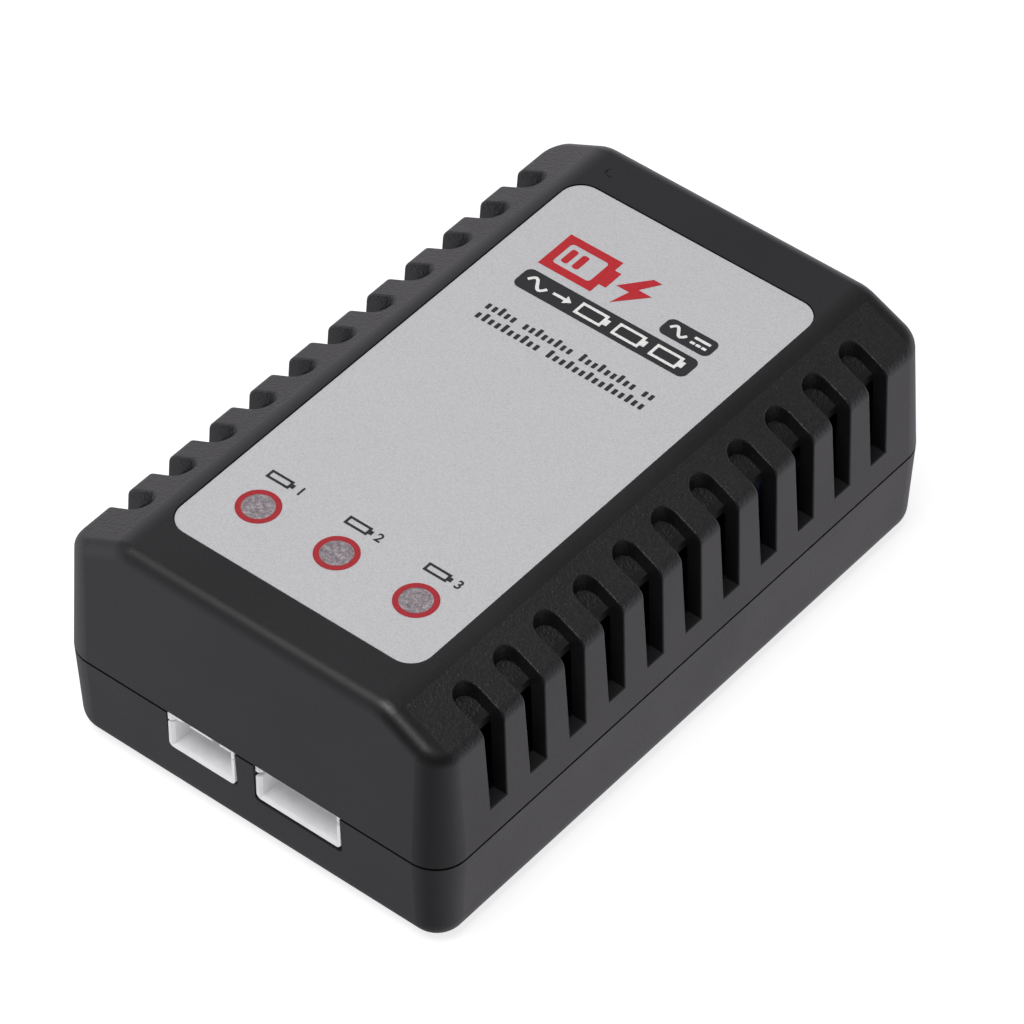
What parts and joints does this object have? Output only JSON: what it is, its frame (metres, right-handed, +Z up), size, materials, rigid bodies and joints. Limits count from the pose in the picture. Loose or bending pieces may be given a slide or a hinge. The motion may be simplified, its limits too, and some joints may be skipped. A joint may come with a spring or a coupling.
{
  "type": "balance battery charger",
  "caption": "Compact mains balance charger for small lithium packs: slotted black case, silver label with charge lights, front balance sockets and a rear mains inlet.",
  "frame": {"origin": "on the ground under the middle of the case", "axes": "+Z up, +Y along the case towards the mains inlet, -Y out of the front face with the balance sockets, +X to the right seen from the front"},
  "size_m": [0.0568, 0.09, 0.0337],
  "materials": {
    "case_plastic": "satin black moulded ABS with a fine spark-eroded grain",
    "label_film": "silver-grey printed film with a fine speckle",
    "window_film": "frosted, mottled grey translucent film",
    "rating_film": "plain silver-grey film",
    "white_nylon": "natural white nylon, slightly translucent",
    "tinned_pin": "bright tin plate",
    "inlet_plastic": "black moulded thermoplastic",
    "nickel_pin": "nickel-plated brass",
    "screw_steel": "zinc-plated steel",
    "board_laminate": "green solder mask over glass-fibre laminate",
    "ferrite": "dark sintered ferrite",
    "bobbin_plastic": "black moulded bobbin",
    "copper_wire": "enamelled copper wire",
    "polyester_tape": "yellow polyester tape",
    "moulded_epoxy": "black moulded epoxy",
    "capacitor_sleeve": "dark blue shrink sleeve with a bare aluminium roof",
    "blue_coating": "blue dipped coating",
    "green_coating": "dark green dipped coating",
    "fuse_case": "brown moulded fuse case",
    "resistor_body": "beige lacquer with bands",
    "chip_body": "black glazed chip with bright ends",
    "led_epoxy": "milky diffused epoxy"
  },
  "bodies": {
    "root": {"upper_shell": "case_plastic", "lower_shell": "case_plastic", "top_label": "label_film", "led_windows": "window_film", "rating_label": "rating_film", "balance_socket_3pin": "white_nylon", "balance_socket_4pin": "white_nylon", "led_spacers": "white_nylon", "balance_pins_3pin": "tinned_pin", "balance_pins_4pin": "tinned_pin", "led_leads": "tinned_pin", "component_leads": "tinned_pin", "package_leads": "tinned_pin", "transformer_pins": "tinned_pin", "mains_inlet": "inlet_plastic", "inlet_pins": "nickel_pin", "case_screws": "screw_steel", "circuit_board": "board_laminate", "transformer_core": "ferrite", "input_choke_core": "ferrite", "transformer_bobbin": "bobbin_plastic", "transformer_winding": "copper_wire", "input_choke_winding": "copper_wire", "transformer_tape": "polyester_tape", "bridge_rectifier": "moulded_epoxy", "switching_ic": "moulded_epoxy", "optocoupler": "moulded_epoxy", "charge_ics": "moulded_epoxy", "charge_transistors": "moulded_epoxy", "clamp_diode": "moulded_epoxy", "output_diodes": "moulded_epoxy", "bulk_capacitor": "capacitor_sleeve", "output_capacitors": "capacitor_sleeve", "y_capacitor": "blue_coating", "inrush_thermistor": "green_coating", "mains_fuse": "fuse_case", "clamp_resistor": "resistor_body", "chip_resistors": "chip_body", "status_leds": "led_epoxy"}
  },
  "joints": []
}
